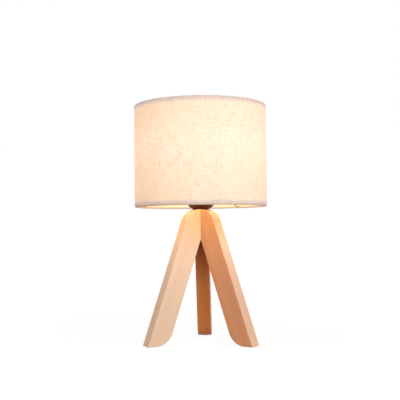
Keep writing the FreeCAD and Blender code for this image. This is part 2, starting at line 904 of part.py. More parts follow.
def bulb_housing():
    """The bulb's opaque lower body: a neck in the screw cap, a collar and a flare to the globe."""
    neck = "(bulb_cap_diameter / 2 - bulb_cap_wall - bore_gap)"
    start = f"({BULB} + bulb_cap_height)"
    collar_top = f"({start} + collar_height)"
    mouth = ball_radius("globe_diameter")
    ledge = f"({GLOBE_FOOT} - board_thickness - loose_gap)"
    inner = f"({mouth} - housing_wall)"
    return turned(
        "bulb_housing",
        [
            (neck, f"{start} - neck_depth"),
            (neck, start),
            ("collar_diameter / 2", start),
            ("collar_diameter / 2", collar_top),
            (mouth, GLOBE_FOOT),
            (inner, GLOBE_FOOT),
            (inner, ledge),
            (f"{inner} - board_ledge", ledge),
            (f"{neck} - housing_wall", collar_top),
            (f"{neck} - housing_wall", f"{start} - neck_depth"),
        ],
        {3: ("housing_flare", 1)},
    )


def bulb_globe():
    """The frosted ball, open at the bottom."""
    inner = "(globe_diameter - 2 * globe_wall)"
    top = f"({BULB} + bulb_length)"
    return turned(
        "bulb_globe",
        [
            (ball_radius("globe_diameter"), GLOBE_FOOT),
            ("globe_diameter / 2", GLOBE_CENTRE),
            ("0", top),
            ("0", f"{top} - globe_wall"),
            (f"{inner} / 2", GLOBE_CENTRE),
            (ball_radius(inner), GLOBE_FOOT),
        ],
        {
            0: ("globe_diameter / 2", 1),
            1: ("globe_diameter / 2", 1),
            3: (f"{inner} / 2", -1),
            4: (f"{inner} / 2", -1),
        },
    )


BOARD = f"({GLOBE_FOOT} - board_thickness - loose_gap)"
BOARD_TOP = f"({GLOBE_FOOT} - loose_gap)"


def led_board():
    """The round aluminium board that the light-emitting chips sit on."""
    edge = f"({ball_radius('globe_diameter')} - housing_wall - loose_gap)"
    return turned("led_board", [("0", BOARD), (edge, BOARD), (edge, BOARD_TOP), ("0", BOARD_TOP)])


def led_chips():
    """A ring of square light-emitting chips."""
    chips = []
    for number in range(LED_COUNT):
        azimuth = 360 * number / LED_COUNT
        sizes = {"Length": "led_size", "Width": "led_size", "Height": "led_height"}
        chip = primitive("Box", f"led_chip_{number}", sizes)
        places = {
            "x": f"led_ring / 2 * cos({azimuth}) - led_size / 2 * (cos({azimuth}) - sin({azimuth}))",
            "y": f"led_ring / 2 * sin({azimuth}) - led_size / 2 * (sin({azimuth}) + cos({azimuth}))",
            "z": BOARD_TOP,
        }
        chips.append(placed(chip, places, Rotation(Vector(0, 0, 1), azimuth)))
    return group("led_chips", chips)


def led_driver():
    """The upright driver board in the bulb's neck, with its capacitor."""
    slot = "(bulb_cap_diameter / 2 - bulb_cap_wall - bore_gap - housing_wall)"
    half = f"sqrt({slot}^2 - driver_thickness^2)"
    sizes = {
        "Length": f"2 * {half} - 2 * running_gap",
        "Width": "driver_thickness",
        "Height": "driver_height",
    }
    board = primitive("Box", "driver_board", sizes)
    foot = f"({BULB} + driver_rise)"
    placed(board, {"x": f"running_gap - {half}", "z": foot})
    can = primitive(
        "Cylinder", "driver_capacitor", {"Radius": "capacitor_diameter / 2", "Height": "capacitor_height"}
    )
    placed(can, {"y": "driver_thickness + capacitor_diameter / 2", "z": f"{foot} + driver_thickness"})
    return group("led_driver", [board, can])


pieces = [leg(label, azimuth) for label, azimuth in LEG_ANGLES.items()]
pieces += [foot_pad(f"foot_pad_{label[4:]}", azimuth) for label, azimuth in LEG_ANGLES.items()]
pieces += [joint_dowels(), threaded_tube(), tube_washer(), tube_nut(), cord_bushing()]
pieces += [holder_cap(), cap_lock_screw(), holder_core(), terminal_screws(), centre_contact()]
pieces += [side_contact(), screw_shell(), holder_skirt(), shade_ring()]
pieces += [fitter_ring(), group("fitter_arms", [fitter_arm(n) for n in range(ARM_COUNT)])]
pieces += [hoop("lower_hoop", LOWER_HOOP), hoop("upper_hoop", UPPER_HOOP), shade_liner(), shade_fabric()]
pieces += [bulb_contact(), bulb_insulator(), bulb_screw_cap(), bulb_housing()]
pieces += [bulb_globe(), led_board(), led_chips(), led_driver()]
doc.recompute()

for thing in doc.Objects:
    if "Invalid" in thing.State or "Error" in thing.State:
        raise RuntimeError(f"{thing.Label} failed: {thing.State}")

for body in (b for b in doc.Objects if b.TypeId == "PartDesign::Body"):
    steps = [f for f in body.Group if hasattr(f, "AddSubShape") or f.TypeId.endswith("Pattern")]
    for before, after in zip(steps, steps[1:]):
        if abs(before.Shape.Volume - after.Shape.Volume) < 1e-4:
            raise RuntimeError(f"{after.Label} changes nothing")

os.makedirs("parts", exist_ok=True)
for piece in pieces:
    shape = piece.Shape
    if shape.isNull() or not shape.isValid() or not shape.Solids:
        raise RuntimeError(f"{piece.Label} has no valid solid")
    shape.exportStep(f"parts/{piece.Label}.step")
    box = shape.BoundBox
    print(
        f"{piece.Label}: {len(shape.Solids)} solid(s), {shape.Volume:.1f} mm3, "
        f"x {box.XMin:.1f}..{box.XMax:.1f} y {box.YMin:.1f}..{box.YMax:.1f} z {box.ZMin:.1f}..{box.ZMax:.1f}"
    )
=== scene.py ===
"""The looks of the tripod table lamp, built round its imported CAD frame. Metres, +Z up, the front is -Y."""

import math

import bpy
from mathutils import Matrix, Vector


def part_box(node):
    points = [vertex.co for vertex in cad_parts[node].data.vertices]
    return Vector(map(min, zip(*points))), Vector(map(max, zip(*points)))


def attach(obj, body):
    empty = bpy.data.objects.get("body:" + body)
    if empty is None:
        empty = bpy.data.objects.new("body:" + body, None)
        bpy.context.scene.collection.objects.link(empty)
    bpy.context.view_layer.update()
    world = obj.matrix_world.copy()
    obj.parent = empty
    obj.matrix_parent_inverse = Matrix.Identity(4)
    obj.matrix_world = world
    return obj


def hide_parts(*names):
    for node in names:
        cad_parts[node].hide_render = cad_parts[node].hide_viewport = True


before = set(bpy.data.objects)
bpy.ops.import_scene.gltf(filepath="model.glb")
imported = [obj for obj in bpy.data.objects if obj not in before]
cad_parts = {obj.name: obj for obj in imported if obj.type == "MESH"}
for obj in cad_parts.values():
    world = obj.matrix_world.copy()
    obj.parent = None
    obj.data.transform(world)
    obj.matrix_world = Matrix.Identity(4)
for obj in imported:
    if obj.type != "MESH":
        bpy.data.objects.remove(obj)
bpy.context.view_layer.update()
bpy.ops.object.select_all(action="DESELECT")

MM = 0.001

# ---- places and sizes that come from the frame ----


def span(node):
    """A CAD node's box at rest, as its lowest and highest corners."""
    low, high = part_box(node)
    return Vector(low), Vector(high)


SHADE_LOW, SHADE_HIGH = span("shade_fabric")
SHADE_RADIUS = SHADE_HIGH.y
LOWER_HOOP_LOW, LOWER_HOOP_HIGH = span("lower_hoop")
UPPER_HOOP_LOW, UPPER_HOOP_HIGH = span("upper_hoop")
LOWER_HOOP = (LOWER_HOOP_LOW.z + LOWER_HOOP_HIGH.z) / 2
UPPER_HOOP = (UPPER_HOOP_LOW.z + UPPER_HOOP_HIGH.z) / 2
HOOP_WIRE = (UPPER_HOOP_HIGH.z - UPPER_HOOP_LOW.z) / 2
HOOP_RADIUS = UPPER_HOOP_HIGH.y - HOOP_WIRE
GLOBE_HIGH = span("bulb_globe")[1]
GLOBE_CENTRE = GLOBE_HIGH.z - GLOBE_HIGH.x

# A leg's board, by places square to its lean and, for the tones of its faces, up along it.
LEG_LEAN = math.radians(19.27)
BOARD_MIDDLE = 61.3 * MM
BOARD_HALF = 9 * MM  # half its thickness
MITRE = math.radians(60)
SEAM = BOARD_HALF / math.tan(MITRE)  # how far out two broad faces meet, from the lamp's axis
ROUNDED_EDGE = (BOARD_HALF - 0.7 * MM, BOARD_HALF - 0.1 * MM)  # where a narrow face turns into a broad one
NARROW_FACES = (BOARD_MIDDLE - 2 * MM, BOARD_MIDDLE + 2 * MM)  # where the inner one's tone gives way
# Painted shade: the inner face darkens towards the joint over this span.
JOINT_SHADE_SPAN = (55 * MM, 105 * MM)  # where the inner face darkens towards the joint
# Painted warm light from the lit shade: the outer face warmer at its shoulder over this span.
SHOULDER_GLOW = (112 * MM, 146 * MM)  # where the outer face turns to the shoulder's tone
# A painted highlight: a yellower strip on the broad face at the seam.
SEAM_HIGHLIGHT_STRIP = (3.5 * MM, 5 * MM)  # how far from the seam it begins to end, and has ended

# ---- the line of the shade's cloth, which its weave and its glow follow ----

CLOTH = 0.6 * MM  # its thickness
LAP = 9 * MM  # how far the two ends overlap
LAP_AZIMUTH = math.radians(283.9)  # where the covered end begins
LAP_RISE = 2 * MM  # the length over which the upper end climbs on the lower one
HEM_TURN = SHADE_RADIUS - HOOP_RADIUS  # outer radius of the roll over a hoop
FOLD_POWER = 0.55  # 1 is a round fold, and less is squarer
TUCK = 3.9 * MM  # how far the tucked edge reaches past the hoop's middle
TUCK_FLAT = 0.5 * MM  # its last stretch, flat on the liner
TUCK_BEND = 0.8 * MM  # where it leaves the hoop
TUCK_POINTS = 3
SHADE_WALL = 1.1 * MM  # cloth, glue and liner
LINER_INSIDE = SHADE_RADIUS - SHADE_WALL
TUCK_RADIUS = LINER_INSIDE - CLOTH * 0.6  # half the cloth's thickness and a little glue
CLOTH_ROUND = 2 * math.pi * (SHADE_RADIUS - CLOTH / 2)  # once round the drum
CLOTH_WIDTH = CLOTH_ROUND + LAP
COLUMNS = 256
WALL_ROWS = 30
ROLL_STEPS = 14


def hem_path(hoop, way):
    """The cloth's middle line round one hoop, from the drum's wall to the tucked edge, as (radius, height).
    The pressed fold is squarer than the wire in it."""
    roll = HEM_TURN - CLOTH / 2
    points = []
    for step in range(ROLL_STEPS + 1):
        angle = math.pi * step / ROLL_STEPS
        across, over = math.cos(angle), math.sin(angle)
        reach = math.copysign(abs(across) ** FOLD_POWER, across)
        points.append((HOOP_RADIUS + roll * reach, hoop + way * roll * over**FOLD_POWER))
    points.append((HOOP_RADIUS - roll, hoop - way * TUCK_BEND))
    points.append((TUCK_RADIUS, hoop - way * (TUCK - TUCK_FLAT)))
    points.append((TUCK_RADIUS, hoop - way * TUCK))
    return points


def cloth_path():
    """The cloth's middle line from its lower tucked edge up the wall to its upper one."""
    lower = hem_path(LOWER_HOOP, -1)[::-1]
    upper = hem_path(UPPER_HOOP, 1)
    wall = []
    for step in range(1, WALL_ROWS):
        height = LOWER_HOOP + (UPPER_HOOP - LOWER_HOOP) * step / WALL_ROWS
        wall.append((SHADE_RADIUS - CLOTH / 2, height))
    return lower + wall + upper


CLOTH_PATH = cloth_path()
CLOTH_RUN = [0.0]  # the cloth's length up to each point of its line
for (r0, z0), (r1, z1) in zip(CLOTH_PATH, CLOTH_PATH[1:]):
    CLOTH_RUN.append(CLOTH_RUN[-1] + math.hypot(r1 - r0, z1 - z0))
TUCKED = CLOTH_RUN[TUCK_POINTS]  # where the roll begins
ROLLED = CLOTH_RUN[TUCK_POINTS + ROLL_STEPS]  # where it ends, on the outside, level with the hoop
HEMMED = ROLLED + TUCK  # the upper edge of the doubled cloth

# ---- materials ----
# In the order in which a node shows its inputs, a noise takes its place, scale, detail and roughness. A Map
# Range takes a value, the range that it comes from and the one that it goes to, which is 0 to 1 if left out.

NOISE = (0.3, 0.7)  # most of a noise lies in this range


def linear(code):
    """A hex sRGB colour as the linear values that a socket holds, by sRGB's own curve."""
    parts = [int(code[i : i + 2], 16) / 255 for i in (1, 3, 5)]
    return (*(p / 12.92 if p <= 0.04045 else ((p + 0.055) / 1.055) ** 2.4 for p in parts), 1.0)


def add(material, kind, inputs=(), **settings):
    """Adds a shader node with its settings. Its inputs go by name, or in the order in which it shows them.
    Each is a value to set, or a node or one of its outputs to link."""
    made = material.node_tree.nodes.new(f"ShaderNode{kind}")
    for name, value in settings.items():
        setattr(made, name, value)
    sockets = [socket for socket in made.inputs if socket.enabled]
    if isinstance(inputs, dict):
        sockets = [next(s for s in sockets if s.name == name) for name in inputs]
        inputs = inputs.values()
    for socket, value in zip(sockets, inputs):
        if isinstance(value, bpy.types.Node):
            value = next(output for output in value.outputs if output.enabled)
        if isinstance(value, bpy.types.NodeSocket):
            material.node_tree.links.new(value, socket)
        else:
            socket.default_value = value
    return made


def blank(name):
    """A new node material with nothing in it."""
    material = bpy.data.materials.new(name)
    material.use_nodes = True
    material.node_tree.nodes.clear()
    return material


def place_of(material, turn=(0, 0, 0), stretch=(1, 1, 1)):
    """Object coordinates in metres, turned and then stretched, for a pattern to read."""
    found = add(material, "TexCoord").outputs["Object"]
    turned = add(material, "Mapping", {"Vector": found, "Rotation": turn})
    return add(material, "VectorMath", [turned, stretch], operation="MULTIPLY")


def beech(name, azimuth, broad, outer, inner, deep, flecks, seed, seam_highlight=0.0):
    """Beech, sanded and clear-lacquered: straight fine grain along the leg, short darker flecks, broad soft
    bands where the growth rings run out, and a low sheen. Its broad and narrow faces differ in tone, partly
    as they are cut two ways through the rings and partly as painted shade on the faces turned from the
    light, such as the inner face, which faces down and in. Painted shade deepens the inner face towards
    the angle between the legs, and painted warm light from the lit shade tints the outer face at its
    shoulder. A board may end in a painted highlight: a yellower strip where it meets its neighbour."""
    wood = blank(name)
    # The colours of the painted shade near the joint, the painted warm light on the shoulder and the painted
    # highlight at the seam.
    painted_shade, painted_glow, painted_highlight = linear("#a05c30"), linear("#e8a074"), linear("#efd8a6")
    along = place_of(wood, turn=(0, 0, -math.radians(azimuth)))
    upright = add(wood, "Mapping", {"Vector": along, "Rotation": (0, LEG_LEAN, 0)})
    shifted = add(wood, "VectorMath", [upright, (seed, seed * 2, seed * 3)], operation="ADD")

    def drawn(across, length):
        factors = (1 / across, 1 / across, 1 / length)
        return add(wood, "VectorMath", [shifted, factors], operation="MULTIPLY")

    # The tone of each face, by its place on the board; the darker faces carry painted shade.
    board = add(wood, "SeparateXYZ", [upright]).outputs
    aside = add(wood, "Math", [board["Y"]], operation="ABSOLUTE")
    on_broad = add(wood, "MapRange", [aside, *ROUNDED_EDGE])
    on_outer = add(wood, "MapRange", [board["X"], *NARROW_FACES])
    # Painted shade: the inner face darker towards the joint between the legs.
    joint_shaded = add(wood, "MapRange", [board["Z"], *JOINT_SHADE_SPAN, 0.0, 0.85])
    # Painted warm light: the outer face warmer at its shoulder, where the lit shade's glow falls.
    shoulder_lit = add(wood, "MapRange", [board["Z"], *SHOULDER_GLOW, 0.0, 0.85])
    inner_face = add(wood, "Mix", [joint_shaded, linear(inner), painted_shade], data_type="RGBA")
    outer_face = add(wood, "Mix", [shoulder_lit, linear(outer), painted_glow], data_type="RGBA")
    narrow = add(wood, "Mix", [on_outer, inner_face, outer_face], data_type="RGBA")
    tone = add(wood, "Mix", [on_broad, narrow, linear(broad)], data_type="RGBA")
    # A painted highlight: a yellower strip where the board meets its neighbour.
    if seam_highlight:
        outwards = add(wood, "SeparateXYZ", [along]).outputs["X"]
        from_seam = add(wood, "Math", [outwards, SEAM], operation="SUBTRACT")
        near = add(wood, "MapRange", [from_seam, *SEAM_HIGHLIGHT_STRIP, seam_highlight, 0.0])
        front = add(wood, "MapRange", [board["Y"], *ROUNDED_EDGE])
        strip = add(wood, "Math", [near, front], operation="MULTIPLY")
        tone = add(wood, "Mix", [strip, tone, painted_highlight], data_type="RGBA")

    # Rings, streaks and flecks, each about as wide and as long as it is drawn out.
    rings = drawn(across=7 * MM, length=240 * MM)
    bands = add(wood, "TexNoise", {"Vector": rings, "Scale": 1.0, "Roughness": 0.45, "Distortion": 0.4})
    streaks = add(wood, "TexNoise", [drawn(across=1.4 * MM, length=55 * MM), 1.0, 3.0, 0.6])
    pores = add(wood, "TexNoise", [drawn(across=0.8 * MM, length=6 * MM), 1.0, 1.0])
    banded = add(wood, "MapRange", [bands, 0.35, 0.7, 0.0, 0.12])
    streaked = add(wood, "MapRange", [streaks, 0.4, 0.75, 0.0, 0.14])
    flecked = add(wood, "MapRange", [pores, 0.64, 0.8, 0.0, 0.16])
    tone = add(wood, "Mix", [banded, tone, linear(deep)], data_type="RGBA", blend_type="MULTIPLY")
    tone = add(wood, "Mix", [streaked, tone, linear(deep)], data_type="RGBA", blend_type="MULTIPLY")
    tone = add(wood, "Mix", [flecked, tone, linear(flecks)], data_type="RGBA")
    relief = add(wood, "Mix", [0.5, streaks, pores])
    skin = {
        "Base Color": tone,
        "Roughness": add(wood, "MapRange", [streaks, *NOISE, 0.46, 0.58]),
        "Specular IOR Level": 0.35,
        "Normal": add(wood, "Bump", {"Height": relief, "Distance": 0.04 * MM, "Strength": 0.3}),
    }
    add(wood, "OutputMaterial", [add(wood, "BsdfPrincipled", skin)])
    return wood


def moulded(name, colour, roughness, relief=0.02 * MM, gloss=0.5):
    """Moulded plastic: an even colour with the fine spark-eroded grain of its mould."""
    plastic = blank(name)
    place = place_of(plastic)
    grain = add(plastic, "TexNoise", [place, 1 / (0.5 * MM)])
    cloud = add(plastic, "TexNoise", [place, 1 / (14 * MM)])
    clouded = add(plastic, "MapRange", [cloud, *NOISE, 0.0, 0.25])
    paler = [clouded, linear(colour), linear("#bcbcbc")]
    skin = {
        "Base Color": add(plastic, "Mix", paler, data_type="RGBA", blend_type="OVERLAY"),
        "Roughness": add(plastic, "MapRange", [grain, *NOISE, roughness - 0.05, roughness + 0.06]),
        "Specular IOR Level": gloss,
        "Normal": add(plastic, "Bump", {"Height": grain, "Distance": relief, "Strength": 0.6}),
    }
    add(plastic, "OutputMaterial", [add(plastic, "BsdfPrincipled", skin)])
    return plastic


def plated(name, colour, roughness):
    """Plated metal: a mirror-like coat broken by the turning marks under it."""
    metal = blank(name)
    marks = add(metal, "TexNoise", [place_of(metal, stretch=(1, 1, 6)), 1 / (1.8 * MM), 2.0, 0.6])
    cloud = add(metal, "TexNoise", [place_of(metal), 1 / (5 * MM)])
    clear = add(metal, "MapRange", [cloud, *NOISE])
    bright = linear(colour)
    kept = 0.82  # of its light, where the coat is dull
    dull = [part * kept for part in bright[:3]] + [1.0]
    skin = {
        "Base Color": add(metal, "Mix", [clear, dull, bright], data_type="RGBA"),
        "Metallic": 1.0,
        "Roughness": add(metal, "MapRange", [marks, *NOISE, roughness - 0.06, roughness + 0.1]),
        "Normal": add(metal, "Bump", {"Height": marks, "Distance": 0.01 * MM, "Strength": 0.5}),
    }
    add(metal, "OutputMaterial", [add(metal, "BsdfPrincipled", skin)])
    return metal


def coated_wire(name, colour):
    """White powder coat on steel wire: slightly pebbled, half gloss."""
    coat = blank(name)
    peel = add(coat, "TexNoise", [place_of(coat), 1 / (0.9 * MM), 1.0])
    pebbled = add(coat, "MapRange", [peel, 0.4, 0.8, 0.0, 0.2])
    skin = {
        "Base Color": add(coat, "Mix", [pebbled, linear(colour), linear("#cfc8ba")], data_type="RGBA"),
        "Roughness": add(coat, "MapRange", [peel, *NOISE, 0.3, 0.42]),
        "Normal": add(coat, "Bump", {"Height": peel, "Distance": 0.04 * MM, "Strength": 0.5}),
    }
    add(coat, "OutputMaterial", [add(coat, "BsdfPrincipled", skin)])
    return coat


# The light that comes through the shade. It falls off from the bulb's height towards both hems.
GLOW_CORE = "#ffe5c6"
GLOW_EDGE = "#ffe1b8"
GLOW_HEM = "#ffefe6"
GLOW_INSIDE = "#ffe2b0"
GLOW_HEIGHT = GLOBE_CENTRE - 4 * MM
GLOW_REACH = (8 * MM, 74 * MM)  # how far from that height it begins to fall off, and has fallen off


def glow_share(material):
    """1 level with the bulb's globe and 0 far above or below it."""
    height = add(material, "SeparateXYZ", [place_of(material)]).outputs["Z"]
    above = add(material, "Math", [height, GLOW_HEIGHT], operation="SUBTRACT")
    off = add(material, "Math", [above], operation="ABSOLUTE")
    return add(material, "MapRange", [off, *GLOW_REACH, 1.0, 0.0])


# How wide the weave's parts are, and how long. Threads are 0.5 mm apart, too fine for the render, so two or
# three are drawn as one.
THREAD = (1.3 * MM, 14 * MM)
SLUB = (1.7 * MM, 11 * MM)
PATCH = (26 * MM, 26 * MM)
LAP_EDGE = (CLOTH_WIDTH - 1.6 * MM, CLOTH_WIDTH - 0.6 * MM)  # where the upper end's own edge darkens
# Where the wall turns into the hem, and the roll into the tuck, from the nearer edge of the strip.
WALL_TO_HEM = (HEMMED - 0.4 * MM, HEMMED + 0.8 * MM)
TUCK_TO_ROLL = (TUCKED - 0.5 * MM, TUCKED + 2 * MM)


def linen(name):
    """Natural linen, plain weave, with slubs: short thick places in the threads both ways, which let less
    light through. Lit from inside it glows warm, brightest level with the bulb; the glow is painted on as
    emission. Each hem, doubled over its wire, is painted a little greyer, as painted shade where less light
    comes through, and its glow is dimmest in the wire's shadow in the fold. The tucked edge inside is as
    bright as the liner."""
    cloth = blank(name)
    flat = add(cloth, "UVMap", uv_map="cloth")
    place = add(cloth, "SeparateXYZ", [flat]).outputs

    def woven(size, across):
        width, length = size
        factors = (1 / length, 1 / width, 1) if across else (1 / width, 1 / length, 1)
        return add(cloth, "VectorMath", [flat, factors], operation="MULTIPLY")

    weft = add(cloth, "TexNoise", [woven(THREAD, across=True), 1.0, 2.0, 0.6])
    warp = add(cloth, "TexNoise", [woven(THREAD, across=False), 1.0, 2.0, 0.6])
    weft_slubs = add(cloth, "TexNoise", [woven(SLUB, across=True), 1.0, 1.0])
    warp_slubs = add(cloth, "TexNoise", [woven(SLUB, across=False), 1.0, 1.0])
    patches = add(cloth, "TexNoise", [woven(PATCH, across=True), 1.0])
    both_threads = add(cloth, "Math", [weft, warp], operation="ADD")
    threads = add(cloth, "MapRange", [both_threads, 0.75, 1.25, 0.0, 0.3])
    thick_weft = add(cloth, "MapRange", [weft_slubs, 0.60, 0.72])
    thick_warp = add(cloth, "MapRange", [warp_slubs, 0.61, 0.73])
    slubs = add(cloth, "Math", [thick_weft, thick_warp], operation="MAXIMUM")
    weave = add(cloth, "Math", [slubs, 0.4, threads], operation="MULTIPLY_ADD")
    lap_edge = add(cloth, "MapRange", [place["X"], *LAP_EDGE, 0.0, 0.22])
    density = add(cloth, "Math", [weave, lap_edge], operation="MAXIMUM")

    # How far each place is from the nearer edge of the strip tells the wall, the hem and the tuck apart.
    from_top = add(cloth, "Math", [CLOTH_RUN[-1], place["Y"]], operation="SUBTRACT")
    edge = add(cloth, "Math", [place["Y"], from_top], operation="MINIMUM")
    hem = add(cloth, "MapRange", [edge, *WALL_TO_HEM, 1.0, 0.0])
    inside = add(cloth, "MapRange", [edge, *TUCK_TO_ROLL, 1.0, 0.0])

    denser = add(cloth, "MapRange", [density, 0.0, 0.5])
    densest = add(cloth, "MapRange", [density, 0.5, 1.0])
    yarn = add(cloth, "Mix", [denser, linear("#c9c1bf"), linear("#beb3ad")], data_type="RGBA")
    yarn = add(cloth, "Mix", [densest, yarn, linear("#a09083")], data_type="RGBA")
    # Painted shade: the hem's colour a little greyer where the doubled cloth lets less light through.
    hem_shade = add(cloth, "Math", [hem, 0.5], operation="MULTIPLY")
    yarn = add(cloth, "Mix", [hem_shade, yarn, linear("#f6ece8")], data_type="RGBA", blend_type="MULTIPLY")
    skin = {
        "Base Color": yarn,
        "Roughness": 0.9,
        "Sheen Weight": 0.15,
        "Sheen Roughness": 0.5,
        "Specular IOR Level": 0.2,
        "Normal": add(cloth, "Bump", {"Height": density, "Distance": 0.25 * MM, "Strength": 0.6}),
    }

    core = glow_share(cloth)
    patchy = add(cloth, "MapRange", [patches, *NOISE, 0.0, 0.3])
    shown = add(cloth, "MapRange", [inside, 0.0, 1.0, 0.7, 0.2])
    shadowed = add(cloth, "Math", [density, shown], operation="MULTIPLY")
    wall_glow = add(cloth, "Mix", [core, linear(GLOW_EDGE), linear(GLOW_CORE)], data_type="RGBA")
    hem_glow = add(cloth, "Mix", [inside, linear(GLOW_HEM), linear(GLOW_INSIDE)], data_type="RGBA")
    glow = add(cloth, "Mix", [hem, wall_glow, hem_glow], data_type="RGBA")
    glow = add(cloth, "Mix", [patchy, glow, linear("#ffe8d0")], data_type="RGBA", blend_type="MULTIPLY")
    glow = add(cloth, "Mix", [shadowed, glow, linear("#c2b48e")], data_type="RGBA", blend_type="MULTIPLY")
    strength = add(cloth, "MapRange", [core, 0.0, 1.0, 0.49, 0.61])
    in_fold = add(cloth, "MapRange", [edge, (TUCKED + ROLLED) / 2, HEMMED, 0.18, 0.8])
    hem_share = add(cloth, "Mix", [hem, 1.0, add(cloth, "Mix", [inside, in_fold, 1.7])])
    strength = add(cloth, "Math", [strength, hem_share], operation="MULTIPLY")

    yarns = add(cloth, "BsdfPrincipled", skin)
    through = add(cloth, "BsdfTranslucent", [glow])
    body = add(cloth, "MixShader", [0.1, yarns, through])
    light = add(cloth, "Emission", [glow, strength])
    add(cloth, "OutputMaterial", [add(cloth, "AddShader", [body, light])])
    return cloth


def lining(name):
    """The laminate film inside the shade: matt white, it passes and spreads the lamp's light."""
    film = blank(name)
    speckle = add(film, "TexNoise", [place_of(film), 1 / (2.5 * MM)])
    speckled = add(film, "MapRange", [speckle, 0.3, 0.8, 0.0, 0.3])
    tone = add(film, "Mix", [speckled, linear("#fbf3e4"), linear("#efe0c6")], data_type="RGBA")
    skin = add(film, "BsdfPrincipled", {"Base Color": tone, "Roughness": 0.6})
    body = add(film, "MixShader", [0.5, skin, add(film, "BsdfTranslucent", [tone])])
    core = glow_share(film)
    warm = add(film, "Mix", [core, linear(GLOW_INSIDE), linear("#ffe6c2")], data_type="RGBA")
    light = add(film, "Emission", [warm, add(film, "MapRange", [core, 0.0, 1.0, 0.4, 0.55])])
    add(film, "OutputMaterial", [add(film, "AddShader", [body, light])])
    return film


def opal(name, strength):
    """The bulb's opal globe, switched on: an even warm white light."""
    globe = blank(name)
    cloud = add(globe, "TexNoise", [place_of(globe), 1 / (18 * MM), 1.0])
    clouded = add(globe, "MapRange", [cloud, *NOISE, 0.0, 0.3])
    light = add(globe, "Mix", [clouded, linear("#fff1d6"), linear("#ffe6bd")], data_type="RGBA")
    skin = {
        "Base Color": linear("#f7f2e8"),
        "Roughness": 0.45,
        "Emission Color": light,
        "Emission Strength": strength,
    }
    add(globe, "OutputMaterial", [add(globe, "BsdfPrincipled", skin)])
    return globe


# Each leg has its own tones, partly the board's own and partly painted shade: the right leg's darker broad
# faces are turned from the key light, and the rear leg's deep orange inner face stands in the front legs'
# shade.
BEECH_LEFT = beech(
    "beech_left",
    azimuth=210,
    broad="#e7d2bd",
    outer="#edd0b8",
    inner="#e0a878",
    deep="#d9a478",
    flecks="#c9976a",
    seed=0.13,
    seam_highlight=0.8,
)
BEECH_RIGHT = beech(
    "beech_right",
    azimuth=330,
    broad="#d49d76",
    outer="#eac5ab",
    inner="#e0a075",
    deep="#cf8f60",
    flecks="#b97c4e",
    seed=0.37,
)
BEECH_REAR = beech(
    "beech_rear",
    azimuth=90,
    broad="#dda87c",
    outer="#e8bf9b",
    inner="#e29b5d",
    deep="#c98a58",
    flecks="#a5683c",
    seed=0.71,
)
BIRCH = beech(
    "birch_dowel",
    azimuth=90,
    broad="#e8cfae",
    outer="#e4caa8",
    inner="#e4caa8",
    deep="#dcc09a",
    flecks="#c9a67c",
    seed=0.9,
)
# The lampholder is near-black plastic, painted a warm brown as painted warm light from the lamp falling on
# it.
THERMOSET = moulded("thermoset_warm_lit", "#4c2300", 0.5, relief=0.012 * MM, gloss=0.2)

# Each finish, and the CAD nodes that have it.
FINISHES = [
    (BEECH_LEFT, ["leg_left"]),
    (BEECH_RIGHT, ["leg_right"]),
    (BEECH_REAR, ["leg_rear"]),
    (BIRCH, ["joint_dowels"]),
    (moulded("silicone_pad", "#d9d4c8", 0.55), ["foot_pad_left", "foot_pad_right", "foot_pad_rear"]),
    (
        plated("zinc_plated_steel", "#c9c4b6", 0.32),
        ["threaded_tube", "tube_washer", "tube_nut", "cap_lock_screw"],
    ),
    (moulded("nylon_black", "#1c1a1a", 0.5), ["cord_bushing"]),
    (THERMOSET, ["holder_cap", "holder_skirt", "shade_ring"]),
    (moulded("moulded_core", "#dcd6c6", 0.5), ["holder_core"]),
    (plated("brass_plate", "#d8b870", 0.28), ["screw_shell", "terminal_screws"]),
    (plated("bronze_strip", "#c08a54", 0.35), ["centre_contact", "side_contact"]),
    (
        coated_wire("powder_coated_wire", "#efe9dc"),
        ["fitter_ring", "fitter_arms", "upper_hoop", "lower_hoop"],
    ),
    (lining("laminate_film"), ["shade_liner"]),
    (plated("tinned_tip", "#b9b8b2", 0.4), ["bulb_contact"]),
    (moulded("insulation_black", "#151313", 0.2), ["bulb_insulator"]),
    (plated("nickel_plate", "#d2cfc6", 0.25), ["bulb_screw_cap"]),
    (moulded("housing_white", "#f1f0ea", 0.3), ["bulb_housing"]),
    (opal("opal_diffuser", 6.0), ["bulb_globe"]),
    (moulded("solder_mask_white", "#eeeeec", 0.35), ["led_board"]),
    (moulded("phosphor_yellow", "#f2cf4a", 0.4), ["led_chips"]),
    (moulded("green_laminate", "#2c5b34", 0.4), ["led_driver"]),
]
for material, pieces in FINISHES:
    for piece in pieces:
        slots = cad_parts[piece].data.materials
        slots.clear()
        slots.append(material)

# ---- the shade's cloth ----


